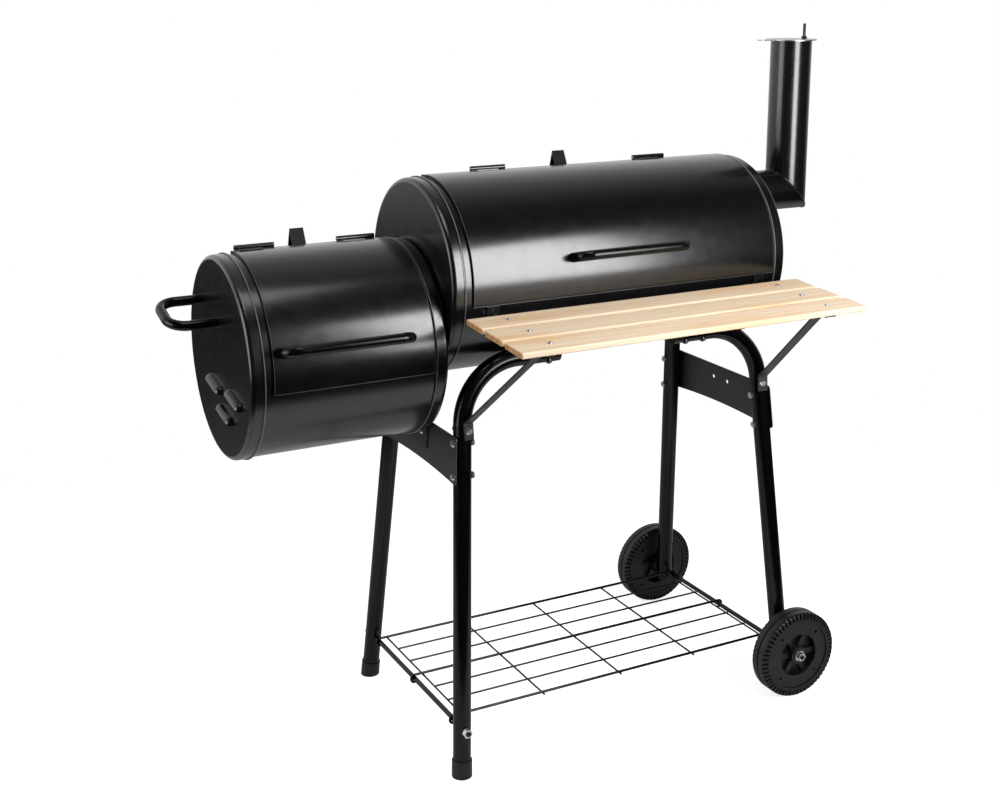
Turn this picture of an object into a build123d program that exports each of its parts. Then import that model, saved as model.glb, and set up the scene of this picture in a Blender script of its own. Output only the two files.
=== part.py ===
from build123d import *
from dataclasses import dataclass
from math import acos, cos, degrees, hypot, radians, sin, sqrt
import os

# Offset smoker: a charcoal barrel with a lid, a smaller firebox hung lower on its left end, a
# chimney on its right end, a slatted front table, and a tube frame on two feet and two wheels.
# Millimetres. +X runs right along the barrel, +Y to the back, +Z up. The origin lies on the floor
# under the middle of the whole smoker.

# Drums: barrel and firebox are rolled from the same shell, cap and lid tooling
SHELL_RADIUS = 150.0
SHEET = 1.2
BARREL_LENGTH = 600.0
BARREL_HEIGHT = 748.0
FIREBOX_LENGTH = 301.0
FIREBOX_DROP = 94.0
FIREBOX_SETBACK = 13.0
CAP_SHEET = 1.3
CAP_CLEARANCE = 0.2
CAP_DEPTH = 21.0
CAP_CORNER = 7.0
CAP_RIM_WIDTH = 2.4
CAP_RIM_PROUD = 1.0
THROAT_RADIUS = 52.0
THROAT_BOLT_REACH = 12.0
THROAT_BOLTS = 4

# Lids, measured as angles round the drum axis: 180 is the front, 90 the top
LID_CLEARANCE = 0.4
LID_LEFT_MARGIN = 33.0
LID_RIGHT_MARGIN = 24.0
LID_RISE = 2.2
LID_HEM = 2.4
LID_FRONT_ANGLE = 188.0
LID_LAP = 5.0
HANDLE_ANGLE = 166.0
HANDLE_RADIUS = 7.5
HANDLE_STANDOFF = 34.0
HANDLE_BEND = 20.0
HANDLE_LENGTH = 204.0
BARREL_HANDLE_SHIFT = -4.0
FIREBOX_HANDLE_SHIFT = -11.0

# Loose-pin hinges behind the top of each lid
HINGE_SETBACK = 34.0
HINGE_LENGTH = 60.0
HINGE_LID_SHARE = 36.0
HINGE_PLAY = 0.5
HINGE_PIN_RADIUS = 2.2
HINGE_PIN_CLEARANCE = 0.06
HINGE_PIN_PROUD = 1.0
KNUCKLE_WALL = 1.7
LEAF_SHEET = 1.6
LEAF_REACH = 26.0
LEAF_SEAT = 0.1
LID_EDGE_GAP = 5.0
HINGE_NECK = 4.0
BARREL_HINGE_SPREAD = 150.0
FIREBOX_HINGE_SPREAD = 80.0
STOP_SETBACK = 74.0
STOP_SPREAD = 32.0
STOP_RISE = 18.5
STOP_WIDTH = 22.0
STOP_SHEET = 2.0

# Firebox side handle and louvres, placed from the firebox axis
SIDE_HANDLE_SETBACK = 44.0
SIDE_HANDLE_RISE = 62.0
SIDE_HANDLE_SPACING = 80.0
SIDE_HANDLE_REACH = 66.0
SIDE_HANDLE_BEND = 26.0
SIDE_HANDLE_TILT = 14.0
LOUVRE_SETBACK = -25.0
LOUVRE_LENGTH = 62.0
LOUVRE_HEIGHT = 10.0
LOUVRE_SPACING = 95.0
LOUVRE_UPPER_DROP = 48.0
LOUVRE_LOWER_DROP = 82.0
LOUVRE_TILT = 11.0

# Chimney and damper
FLUE_RADIUS = 35.0
FLUE_CLEARANCE = 0.3
CHIMNEY_RISE = 86.0
CHIMNEY_REACH = 115.0
CHIMNEY_TOP = 1089.0
FLUE_INSIDE = 8.0
FLANGE_REACH = 15.0
FLANGE_SHEET = 1.6
FLANGE_BOLTS = 4
DAMPER_OVERHANG = 8.0
DAMPER_SHEET = 1.5
DAMPER_GAP = 0.4
DAMPER_PIVOT = 27.0
DAMPER_TAB_REACH = 26.0
DAMPER_TAB_WIDTH = 15.0
DAMPER_TAB_ROOT = 10.0
DAMPER_TAB_ROUND = 5.0
PIVOT_RADIUS = 2.5
PIVOT_CLEARANCE = 0.06
PIVOT_RISE = 28.0
PIVOT_ROUND = 2.2
PIVOT_NUT_HEIGHT = 4.0
LUG_SHEET = 3.0
LUG_EDGE = 3.5

# Frame: four bent tubes that cradle the barrel on short rails
LEG_RADIUS = 14.0
LEG_WALL = 1.2
LEG_BEND = 96.0
FRAME_SHIFT = -1.0
FOOT_SPREAD = 308.5
RAIL_SPREAD = 268.5
RAIL_END = 108.0
FOOT_DEPTH = 186.0
RAIL_DEPTH = 117.0
RAIL_CLEARANCE = 0.3
RAIL_BOLT_INSET = 18.0
RAIL_BOLT_PITCH = 34.0
FOOT_CAP_WALL = 1.6
FOOT_CAP_HEIGHT = 26.0
FOOT_CAP_FLOOR = 6.0
TUBE_FIT = 0.15
PLUG_FLANGE = 2.5
PLUG_DEPTH = 9.0
PLUG_HEADROOM = 1.5

# Side plates, one across each pair of legs
PLATE_SHEET = 1.6
PLATE_CENTRE = 490.0
PLATE_HEIGHT = 74.0
PLATE_ARCH = 7.0
PLATE_OVERHANG = 11.0
PLATE_CORNER = 6.0
PLATE_BOLT_PITCH = 50.0
PLATE_HOLE_RADIUS = 3.5
PLATE_HOLE_SPACING = 40.0
PLATE_HOLE_RISE = 14.0
BRACKET_SHEET = 1.6
BRACKET_WIDTH = 84.0
BRACKET_FOOT = 22.0
BRACKET_STEP = 12.0
BRACKET_PAD = 36.0
BRACKET_BOLT_RADIUS = 2.5

# Front table
TABLE_LENGTH = 597.0
TABLE_SHIFT = 7.5
TABLE_TOP = 717.5
TABLE_GAP = 24.0
TABLE_SLOPE = 3.4
BOARD_WIDTH = 51.5
BOARD_GAP = 9.0
BOARD_THICK = 9.0
BOARD_ROUND = 2.5
BOARD_COUNT = 3
TABLE_BOLT_RADIUS = 2.0
ARM_INSET = 58.5
ARM_WIDTH = 20.0
ARM_SHEET = 3.0
ARM_LIP = 18.0
ARM_LIP_DROP = 3.0
ARM_BOLT_DROP = 7.4
ARM_NOSE = 14.0
STRUT_WIDTH = 17.0
STRUT_SHEET = 2.5
STRUT_FOOT_HEIGHT = 535.0
STRUT_TAB = 13.0

# Wheels, rods and the wire shelf
WHEEL_RADIUS = 75.0
WHEEL_WIDTH = 34.0
TYRE_DEPTH = 16.0
TYRE_FIT = 0.15
TYRE_SHOULDER = 6.0
TREAD_GROOVE = 3.0
TREAD_DEPTH = 2.0
LUG_COUNT = 56
LUG_NOTCH = 3.2
LUG_NOTCH_DEPTH = 4.5
LUG_NOTCH_RADIAL = 11.0
RIM_WALL = 22.0
RIM_INSET = 2.0
RIM_HOLES = 4
RIM_HOLE_RADIUS = 2.5
RIM_HOLE_REACH = 50.0
HUB_RADIUS = 15.0
SPOKE_COUNT = 6
SPOKE_WIDTH = 9.0
SPOKE_INSET = 9.0
WEB_SHEET = 4.0
AXLE_RADIUS = 4.0
AXLE_CLEARANCE = 0.06
AXLE_HOLE_CLEARANCE = 0.3
WHEEL_PLAY = 0.4
SPACER_RADIUS = 9.0
SPACER_LENGTH = 4.0
WASHER_SHEET = 1.4
ROD_NUT_RADIUS = 7.5
ROD_NUT_HEIGHT = 6.5
ROD_TAIL = 1.5
ROD_SEAT = 2.0
SHELF_DEPTH = 296.0
SHELF_WIRES = 7
SHELF_HEAVY_STEP = 3
HEAVY_WIRE_RADIUS = 2.2
LIGHT_WIRE_RADIUS = 1.6
CROSS_WIRES = 5
CROSS_INSET = 15.0
CROSS_OVERRUN = 3.0
WELD_SINK = 0.5
HOOK_CLEARANCE = 0.2
HOOK_SWEEP = 200.0

# Grates inside the drums
GRID_DROP = 18.0
GRATE_DROP = 84.0
FIREBOX_GRID_DROP = 12.0
FIREBOX_GRATE_DROP = 78.0
GRID_EDGE_GAP = 6.0
GRID_END_GAP = 22.0
GRID_FRAME_RADIUS = 3.0
GRID_BAR_RADIUS = 2.0
GRID_BAR_PITCH = 22.0
GRID_CORNER = 14.0
GRATE_SHEET = 1.5
GRATE_SLOT_LENGTH = 52.0
GRATE_SLOT_WIDTH = 8.0
GRATE_SLOT_PITCH_X = 24.0
GRATE_SLOT_PITCH_Y = 68.0
GRATE_SLOT_ROWS = 3
LEDGE_WIDTH = 16.0
LEDGE_SHEET = 2.0
LEDGE_WELD = 0.05

# Bolts and screws
BOLT_RADIUS = 3.0
BOLT_HOLE_CLEARANCE = 0.3
BOLT_HEAD_RADIUS = 6.0
BOLT_HEAD_HEIGHT = 3.2
BOLT_HEAD_TAPER = 35.0
BOLT_NUT_RADIUS = 5.7
BOLT_NUT_HEIGHT = 4.5
BOLT_TAIL = 2.0
BOLT_RING_START = 45.0
SCREW_LENGTH = 14.0
CURVE_GAP = 0.25

# Worked out from the driving dimensions
LEFT = -1
RIGHT = 1
FRONT = -1
REAR = 1
CAP_RADIUS = SHELL_RADIUS + CAP_CLEARANCE + CAP_SHEET
HEM_RADIUS = SHELL_RADIUS + LID_CLEARANCE
LID_INNER = HEM_RADIUS + LID_RISE
LID_OUTER = LID_INNER + SHEET
SHELL_INNER = SHELL_RADIUS - SHEET
KNUCKLE_RADIUS = HINGE_PIN_RADIUS + HINGE_PIN_CLEARANCE + KNUCKLE_WALL
HINGE_REACH = LID_OUTER + LEAF_SEAT + KNUCKLE_RADIUS
HINGE_ANGLE = degrees(acos(HINGE_SETBACK / HINGE_REACH))
LID_REAR_ANGLE = HINGE_ANGLE + degrees(LID_EDGE_GAP / LID_OUTER)
LAP_ANGLE = degrees(LID_LAP / SHELL_RADIUS)
DAMPER_RADIUS = FLUE_RADIUS + DAMPER_OVERHANG
TABLE_DEPTH = BOARD_COUNT * BOARD_WIDTH + (BOARD_COUNT - 1) * BOARD_GAP
BOLT_HOLE = BOLT_RADIUS + BOLT_HOLE_CLEARANCE
TABLE_BOLT_HOLE = TABLE_BOLT_RADIUS + BOLT_HOLE_CLEARANCE
AXLE_Z = WHEEL_RADIUS
RAIL_REACH = SHELL_RADIUS + LEG_RADIUS + RAIL_CLEARANCE
RAIL_Z = BARREL_HEIGHT - sqrt(RAIL_REACH ** 2 - RAIL_DEPTH ** 2)
LEG_SPLAY = (FOOT_SPREAD - RAIL_SPREAD) / RAIL_Z
LEG_LEAN = (FOOT_DEPTH - RAIL_DEPTH) / RAIL_Z
AXLE_LEG_DEPTH = FOOT_DEPTH - LEG_LEAN * AXLE_Z
WHEEL_INNER = AXLE_LEG_DEPTH + LEG_RADIUS + ROD_SEAT + SPACER_LENGTH + WHEEL_PLAY
WHEEL_OUTER = WHEEL_INNER + WHEEL_WIDTH
AXLE_END = WHEEL_OUTER + WHEEL_PLAY + WASHER_SHEET + ROD_NUT_HEIGHT + ROD_TAIL

# The reach to each side of the barrel's left face and axis sets the origin in the middle
LEFT_REACH = FIREBOX_LENGTH + SIDE_HANDLE_REACH + HANDLE_RADIUS
RIGHT_REACH = BARREL_LENGTH + CHIMNEY_REACH + DAMPER_RADIUS
TABLE_FRONT_REACH = SHELL_RADIUS + TABLE_GAP + TABLE_DEPTH * cos(radians(TABLE_SLOPE))
BARREL_LEFT = (LEFT_REACH - RIGHT_REACH) / 2
AXIS_Y = (TABLE_FRONT_REACH - AXLE_END) / 2
MIDDLE = BARREL_LEFT + BARREL_LENGTH / 2
FRAME_MIDDLE = MIDDLE + FRAME_SHIFT
TABLE_MIDDLE = MIDDLE + TABLE_SHIFT
FLUE_X = BARREL_LEFT + BARREL_LENGTH + CHIMNEY_REACH


@dataclass
class Drum:
    """Barrel or firebox: where it lies and the sizes that differ between the two."""

    left: float
    length: float
    axis_y: float
    axis_z: float
    hinge_spread: float
    handle_shift: float

    @property
    def right(self):
        return self.left + self.length

    @property
    def middle(self):
        return self.left + self.length / 2

    @property
    def handle_x(self):
        """X of the middle of the lid handle."""
        return self.middle + self.handle_shift

    def face(self, side):
        """X of the outer face of the left or right cap."""
        return self.left if side == LEFT else self.right

    def section(self, x):
        """Plane across the drum at x, its origin on the axis, local x to the back, local y up."""
        return Plane(origin=(x, self.axis_y, self.axis_z), x_dir=(0, 1, 0), z_dir=(1, 0, 0))

    def point(self, x, radius, angle):
        """Point at x on a circle round the axis."""
        y, z = polar(radius, angle)
        return Vector(x, self.axis_y + y, self.axis_z + z)


barrel = Drum(
    BARREL_LEFT, BARREL_LENGTH, AXIS_Y, BARREL_HEIGHT, BARREL_HINGE_SPREAD, BARREL_HANDLE_SHIFT
)
firebox = Drum(
    BARREL_LEFT - FIREBOX_LENGTH,
    FIREBOX_LENGTH,
    AXIS_Y + FIREBOX_SETBACK,
    BARREL_HEIGHT - FIREBOX_DROP,
    FIREBOX_HINGE_SPREAD,
    FIREBOX_HANDLE_SHIFT,
)


def polar(radius, angle):
    """Flat coordinates of a point on a circle, the angle in degrees."""
    return radius * cos(radians(angle)), radius * sin(radians(angle))


def save(part, name):
    """Label one finished piece and write its file."""
    part.label = name
    export_step(part, f"parts/{name}.step")


def ring_sector(inner, outer, start, end):
    """Flat piece of a ring between two angles, centred on the origin."""
    with BuildSketch() as sector:
        with BuildLine():
            CenterArc((0, 0), outer, start, end - start)
            Line(polar(outer, end), polar(inner, end))
            CenterArc((0, 0), inner, end, start - end)
            Line(polar(inner, start), polar(outer, start))
        make_face()
    return sector.sketch


def strip(points, thickness):
    """Flat outline of a bent strip: the points are one face, the sheet lies to their right."""
    path = [Vector(*point) for point in points]
    turns = []
    for here, there in zip(path, path[1:]):
        along = (there - here).normalized()
        turns.append(Vector(along.Y, -along.X))
    back = [path[0] + turns[0] * thickness]
    for corner, before, after in zip(path[1:-1], turns, turns[1:]):
        bisector = before + after
        back.append(corner + bisector * (thickness / bisector.dot(before)))
    back.append(path[-1] + turns[-1] * thickness)
    with BuildSketch() as outline:
        with BuildLine():
            Polyline(*path, *reversed(back), close=True)
        make_face()
    return outline.sketch


def bolt(seat, grip, radius=BOLT_RADIUS, nut=True):
    """Domed bolt with its head on the seat plane, and the nut at the far side of the grip."""
    scale = radius / BOLT_RADIUS
    tail = (BOLT_NUT_HEIGHT + BOLT_TAIL) * scale if nut else 0
    with BuildPart() as made:
        with BuildSketch(seat):
            Circle(radius)
        extrude(amount=-(grip + tail))
        with BuildSketch(seat):
            Circle(BOLT_HEAD_RADIUS * scale)
        extrude(amount=BOLT_HEAD_HEIGHT * scale, taper=BOLT_HEAD_TAPER)
        if nut:
            with BuildSketch(seat.offset(-grip)):
                RegularPolygon(BOLT_NUT_RADIUS * scale, 6)
            extrude(amount=-BOLT_NUT_HEIGHT * scale)
    return made.part


# Drums

def drum_shell(drum):
    """Rolled shell with the opening that the lid covers."""
    start = drum.left + CAP_CORNER
    opening = drum.left + LID_LEFT_MARGIN + LID_LAP
    opening_end = drum.right - LID_RIGHT_MARGIN - LID_LAP
    with BuildPart() as shell:
        with BuildSketch(drum.section(start)):
            Circle(SHELL_RADIUS)
            Circle(SHELL_INNER, mode=Mode.SUBTRACT)
        extrude(amount=drum.length - 2 * CAP_CORNER)
        with BuildSketch(drum.section(opening)):
            add(
                ring_sector(
                    SHELL_INNER - SHEET,
                    SHELL_RADIUS + SHEET,
                    LID_REAR_ANGLE + LAP_ANGLE,
                    LID_FRONT_ANGLE - LAP_ANGLE,
                )
            )
        extrude(amount=opening_end - opening, mode=Mode.SUBTRACT)
    return shell.part


def drum_cap(drum, side, holes):
    """Drawn end cap with a rounded corner and a rolled rim; holes are (y, z, radius) on its face."""
    face = drum.face(side)
    with BuildPart() as cap:
        with BuildSketch(drum.section(face)):
            Circle(CAP_RADIUS)
        extrude(amount=-side * CAP_DEPTH)
        across = cap.faces().filter_by(GeomType.PLANE).sort_by(Axis.X)
        outer = across[0] if side == LEFT else across[-1]
        fillet(outer.edges(), CAP_CORNER)
        across = cap.faces().filter_by(GeomType.PLANE).sort_by(Axis.X)
        mouth = across[-1] if side == LEFT else across[0]
        offset(amount=-CAP_SHEET, openings=mouth)
        with BuildSketch(drum.section(face - side * (CAP_DEPTH - CAP_RIM_WIDTH))):
            Circle(CAP_RADIUS + CAP_RIM_PROUD)
            Circle(CAP_RADIUS - CAP_SHEET, mode=Mode.SUBTRACT)
        extrude(amount=-side * CAP_RIM_WIDTH)
        for y, z, radius in holes:
            with BuildSketch(drum.section(face)):
                with Locations((y, z)):
                    Circle(radius)
            extrude(amount=-side * CAP_CORNER, mode=Mode.SUBTRACT)
    return cap.part


def handle_plane(drum):
    """Plane of the lid handle: local x along the drum, local y straight out of the lid."""
    y, z = polar(1, HANDLE_ANGLE)
    return Plane(
        origin=(drum.handle_x, drum.axis_y, drum.axis_z), x_dir=(1, 0, 0), z_dir=(0, -z, y)
    )


def handle_seats(drum):
    """Planes of the two handle screws, on the inside of the lid and facing the drum axis."""
    y, z = polar(1, HANDLE_ANGLE)
    inside = LID_INNER - CURVE_GAP
    half = HANDLE_LENGTH / 2 - HANDLE_RADIUS
    return [
        Plane(origin=drum.point(x, inside, HANDLE_ANGLE), z_dir=(0, -y, -z))
        for x in (drum.handle_x - half, drum.handle_x + half)
    ]


def bent_handle(plane, spacing, foot, reach, bend):
    """Round bar bent into a bow: local x across, local y outwards from its feet."""
    half = spacing / 2
    with BuildPart() as bow:
        with BuildLine(plane) as path:
            FilletPolyline(
                (-half, foot), (-half, reach), (half, reach), (half, foot), radius=bend
            )
        with BuildSketch(path.line ^ 0):
            Circle(HANDLE_RADIUS)
        sweep()
    return bow.part


def drum_lid(drum):
    """Curved lid over the opening, its edges turned in, with two screw holes for its handle."""
    start = drum.left + LID_LEFT_MARGIN
    length = drum.right - LID_RIGHT_MARGIN - start
    hem = degrees(LID_HEM / LID_OUTER)
    with BuildPart() as lid:
        with BuildSketch(drum.section(start)):
            add(ring_sector(HEM_RADIUS, LID_OUTER, LID_REAR_ANGLE, LID_FRONT_ANGLE))
        extrude(amount=length)
        with BuildSketch(drum.section(start + LID_HEM)):
            add(ring_sector(SHELL_INNER, LID_INNER, LID_REAR_ANGLE + hem, LID_FRONT_ANGLE - hem))
        extrude(amount=length - 2 * LID_HEM, mode=Mode.SUBTRACT)
        for seat in handle_seats(drum):
            with BuildSketch(seat):
                Circle(BOLT_HOLE)
            extrude(amount=-SCREW_LENGTH, mode=Mode.SUBTRACT)
    return lid.part


def lid_handle(drum):
    """Bow handle on the lid, bored for its two screws."""
    foot = LID_OUTER + CURVE_GAP
    spacing = HANDLE_LENGTH - 2 * HANDLE_RADIUS
    with BuildPart() as handle:
        add(bent_handle(handle_plane(drum), spacing, foot, LID_OUTER + HANDLE_STANDOFF, HANDLE_BEND))
        for seat in handle_seats(drum):
            with BuildSketch(seat):
                Circle(BOLT_HOLE)
            extrude(amount=-(SCREW_LENGTH + CURVE_GAP), mode=Mode.SUBTRACT)
    return handle.part


def screws(seats):
    """Short screws with their heads on the seat planes."""
    with BuildPart() as group:
        for seat in seats:
            add(bolt(seat, SCREW_LENGTH, nut=False))
    return group.part


def hinge_starts(drum):
    """Left ends of the drum's two hinges."""
    return [
        drum.middle + side * drum.hinge_spread - HINGE_LENGTH / 2 for side in (LEFT, RIGHT)
    ]


def pin_circle(radius):
    """Circle round the hinge pin's axis, in the drum's section."""
    with BuildSketch() as circle:
        with Locations(polar(HINGE_REACH, HINGE_ANGLE)):
            Circle(radius)
    return circle.sketch


def lid_leaves(drum):
    """Leaves riveted on the lid, each rolled round the left part of its pin."""
    inner = LID_OUTER + LEAF_SEAT
    leaf_end = HINGE_ANGLE + degrees(LEAF_REACH / inner)
    with BuildPart() as leaves:
        for start in hinge_starts(drum):
            with BuildSketch(drum.section(start)):
                add(ring_sector(inner, inner + LEAF_SHEET, HINGE_ANGLE, leaf_end))
                add(pin_circle(KNUCKLE_RADIUS))
                add(pin_circle(HINGE_PIN_RADIUS + HINGE_PIN_CLEARANCE), mode=Mode.SUBTRACT)
            extrude(amount=HINGE_LID_SHARE)
    return leaves.part


def shell_leaves(drum):
    """Leaves on the shell behind the lid, with a neck up to the right part of each pin."""
    inner = SHELL_RADIUS + LEAF_SEAT
    neck = degrees(HINGE_NECK / inner)
    leaf_end = HINGE_ANGLE - degrees(LEAF_REACH / inner)
    knuckle_start = HINGE_LID_SHARE + HINGE_PLAY
    with BuildPart() as leaves:
        for start in hinge_starts(drum):
            with BuildSketch(drum.section(start)):
                add(ring_sector(inner, inner + LEAF_SHEET, leaf_end, HINGE_ANGLE - 2 * neck))
            extrude(amount=knuckle_start)
            with BuildSketch(drum.section(start + knuckle_start)):
                add(ring_sector(inner, inner + LEAF_SHEET, leaf_end, HINGE_ANGLE))
                add(ring_sector(inner, HINGE_REACH, HINGE_ANGLE - neck, HINGE_ANGLE))
                add(pin_circle(KNUCKLE_RADIUS))
                add(pin_circle(HINGE_PIN_RADIUS + HINGE_PIN_CLEARANCE), mode=Mode.SUBTRACT)
            extrude(amount=HINGE_LENGTH - knuckle_start)
    return leaves.part


def lid_stop(drum):
    """Bent strip like a roof on the back of the shell, where the open lid comes to rest."""
    ridge = Vector(STOP_SETBACK, SHELL_RADIUS + STOP_RISE)
    feet = []
    for y in (STOP_SETBACK - STOP_SPREAD / 2, STOP_SETBACK + STOP_SPREAD / 2):
        on_shell = Vector(y, sqrt(SHELL_RADIUS ** 2 - y ** 2))
        sunk = on_shell + (on_shell - ridge).normalized() * STOP_SPREAD
        feet.append((sunk.X, sunk.Y))
    with BuildPart() as stop:
        with BuildSketch(drum.section(drum.middle - STOP_WIDTH / 2)):
            add(strip([feet[0], (ridge.X, ridge.Y), feet[1]], STOP_SHEET))
            Circle(SHELL_RADIUS + LEAF_SEAT, mode=Mode.SUBTRACT)
        extrude(amount=STOP_WIDTH)
    return stop.part


# Frame geometry

def leg_point(side, depth, z):
    """Point at height z on the straight axis of one leg."""
    x = FRAME_MIDDLE + side * (FOOT_SPREAD - LEG_SPLAY * z)
    y = AXIS_Y + depth * (FOOT_DEPTH - LEG_LEAN * z)
    return Vector(x, y, z)


def leg_axis(side, depth):
    """Direction up one leg."""
    return (leg_point(side, depth, RAIL_Z) - leg_point(side, depth, 0)).normalized()


def leg_plane(depth):
    """Leaning plane of the front or rear legs: local x along the barrel, local y up the lean."""
    rise = Vector(0, -depth * (FOOT_DEPTH - RAIL_DEPTH), RAIL_Z)
    return Plane(
        origin=(FRAME_MIDDLE, AXIS_Y + depth * FOOT_DEPTH, 0),
        x_dir=(1, 0, 0),
        z_dir=Vector(1, 0, 0).cross(rise),
    )


def side_plane(side):
    """Plane through the axes of the left or right legs, facing outwards, local y up."""
    centre = leg_point(side, FRONT, PLATE_CENTRE)
    return Plane(
        origin=(centre.X, AXIS_Y, PLATE_CENTRE), x_dir=(0, side, 0), z_dir=(side, 0, LEG_SPLAY)
    )


def rail_seats(side, depth):
    """Bolt planes under one rail, facing away from the barrel axis."""
    inward = Vector(0, -depth * RAIL_DEPTH, BARREL_HEIGHT - RAIL_Z).normalized()
    seats = []
    for step in (0, 1):
        x = FRAME_MIDDLE + side * (RAIL_END + RAIL_BOLT_INSET + step * RAIL_BOLT_PITCH)
        centre = Vector(x, AXIS_Y + depth * RAIL_DEPTH, RAIL_Z)
        seats.append(Plane(origin=centre - inward * LEG_RADIUS, x_dir=(1, 0, 0), z_dir=-inward))
    return seats


RAIL_GRIP = 2 * LEG_RADIUS + RAIL_CLEARANCE + SHEET + CURVE_GAP


def plate_half(v):
    """Half length of a side plate at local height v, so that its ends follow the legs."""
    return FOOT_DEPTH - LEG_LEAN * (PLATE_CENTRE + v) + PLATE_OVERHANG


def plate_seats(side, depth, outer):
    """Bolt planes on the outer face of a side plate, over one leg."""
    seats = []
    for v in (-PLATE_BOLT_PITCH / 2, PLATE_BOLT_PITCH / 2):
        u = side * depth * (FOOT_DEPTH - LEG_LEAN * (PLATE_CENTRE + v))
        plane = side_plane(side).offset(outer)
        seats.append(Plane(origin=plane.from_local_coords((u, v)), z_dir=plane.z_dir))
    return seats


def bracket_seats(outer):
    """Bolt planes at the two middle holes of the left plate."""
    plane = side_plane(LEFT).offset(outer)
    return [
        Plane(origin=plane.from_local_coords((u, PLATE_HOLE_RISE)), z_dir=plane.z_dir)
        for u in (-PLATE_HOLE_SPACING / 2, PLATE_HOLE_SPACING / 2)
    ]


# Table geometry
table_plane = Plane(
    origin=(TABLE_MIDDLE, AXIS_Y - SHELL_RADIUS - TABLE_GAP, TABLE_TOP),
    x_dir=(1, 0, 0),
    z_dir=(0, -sin(radians(TABLE_SLOPE)), cos(radians(TABLE_SLOPE))),
)


def arm_x(side):
    """Local x of a table arm, set in from the barrel's end."""
    return side * (BARREL_LENGTH / 2 - ARM_INSET)


def board_y(index):
    """Local y of a board's middle, counted from the front."""
    return -TABLE_DEPTH + BOARD_WIDTH / 2 + index * (BOARD_WIDTH + BOARD_GAP)


ARM_LIP_TOP = LID_FRONT_ANGLE + degrees(ARM_LIP_DROP / SHELL_RADIUS)
ARM_BOLT_ANGLE = ARM_LIP_TOP + degrees(ARM_BOLT_DROP / SHELL_RADIUS)
ARM_GRIP = ARM_SHEET + LEAF_SEAT + SHEET + CURVE_GAP


def arm_seat(side):
    """Bolt plane on the upturned lip of a table arm."""
    y, z = polar(1, ARM_BOLT_ANGLE)
    radius = SHELL_RADIUS + LEAF_SEAT + ARM_SHEET
    origin = barrel.point(TABLE_MIDDLE + arm_x(side), radius + CURVE_GAP, ARM_BOLT_ANGLE)
    return Plane(origin=origin, x_dir=(1, 0, 0), z_dir=(0, y, z))


def strut_frame(side):
    """Upright plane of one strut, from its leg towards the front of its table arm."""
    foot = leg_point(side, FRONT, STRUT_FOOT_HEIGHT)
    under = -BOARD_THICK - ARM_SHEET - CURVE_GAP
    top = table_plane.from_local_coords((arm_x(side), board_y(0), under))
    level = Vector(top.X - foot.X, top.Y - foot.Y, 0).normalized()
    plane = Plane(origin=foot, x_dir=level, z_dir=level.cross(Vector(0, 0, 1)))
    return plane, plane.to_local_coords(top)


def strut_tab(side):
    """Direction up the strut's lower tab, and the way it faces, in the strut's own plane."""
    plane, _ = strut_frame(side)
    up = plane.to_local_coords(plane.origin + leg_axis(side, FRONT))
    along = Vector(up.X, up.Y).normalized()
    return along, Vector(along.Y, -along.X)


def strut_seat(side):
    """Bolt plane on the outside of the strut's lower tab."""
    plane, _ = strut_frame(side)
    _, facing = strut_tab(side)
    out = plane.from_local_coords(facing * (LEG_RADIUS + CURVE_GAP + STRUT_SHEET))
    return Plane(origin=out, z_dir=out - plane.origin)


os.makedirs("parts", exist_ok=True)

# Caps: the throat joins the firebox to the barrel, the flue leaves at the far end
throat_y = FIREBOX_SETBACK / 2
throat_z = -FIREBOX_DROP / 2
throat_bolt_radius = THROAT_RADIUS + THROAT_BOLT_REACH
throat_bolts = [
    polar(throat_bolt_radius, BOLT_RING_START + 360 / THROAT_BOLTS * step)
    for step in range(THROAT_BOLTS)
]
barrel_throat = [(throat_y, throat_z, THROAT_RADIUS)]
barrel_throat += [(throat_y + y, throat_z + z, BOLT_HOLE) for y, z in throat_bolts]
firebox_throat = [(y - FIREBOX_SETBACK, z + FIREBOX_DROP, radius) for y, z, radius in barrel_throat]
flange_bolt_radius = FLUE_RADIUS + FLANGE_REACH / 2
flange_bolts = [
    polar(flange_bolt_radius, BOLT_RING_START + 360 / FLANGE_BOLTS * step)
    for step in range(FLANGE_BOLTS)
]
flue_holes = [(0, CHIMNEY_RISE, FLUE_RADIUS + FLUE_CLEARANCE)]
flue_holes += [(y, CHIMNEY_RISE + z, BOLT_HOLE) for y, z in flange_bolts]
foot_y, foot_z = polar(SIDE_HANDLE_SPACING / 2, SIDE_HANDLE_TILT)
side_handle_feet = [
    (SIDE_HANDLE_SETBACK + depth * foot_y, SIDE_HANDLE_RISE + depth * foot_z)
    for depth in (FRONT, REAR)
]
side_handle_holes = [(y, z, BOLT_HOLE) for y, z in side_handle_feet]

save(drum_cap(barrel, LEFT, barrel_throat), "barrel_left_cap")
save(drum_cap(barrel, RIGHT, flue_holes), "barrel_right_cap")
save(drum_cap(firebox, RIGHT, firebox_throat), "firebox_right_cap")

# Left firebox cap: three pressed louvres, a little higher at the back, let air in
sill_y, sill_z = polar(1, LOUVRE_TILT)
louvres = [
    (LOUVRE_SETBACK - LOUVRE_SPACING / 2, -LOUVRE_UPPER_DROP),
    (LOUVRE_SETBACK + LOUVRE_SPACING / 2, -LOUVRE_UPPER_DROP),
    (LOUVRE_SETBACK, -LOUVRE_LOWER_DROP),
]


def half_slot(length, height):
    """Upper half of a round-ended slot, standing on the origin."""
    with BuildSketch() as half:
        SlotOverall(length, 2 * height)
        with Locations((0, -height)):
            Rectangle(length, 2 * height, mode=Mode.SUBTRACT)
    return half.sketch


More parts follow.
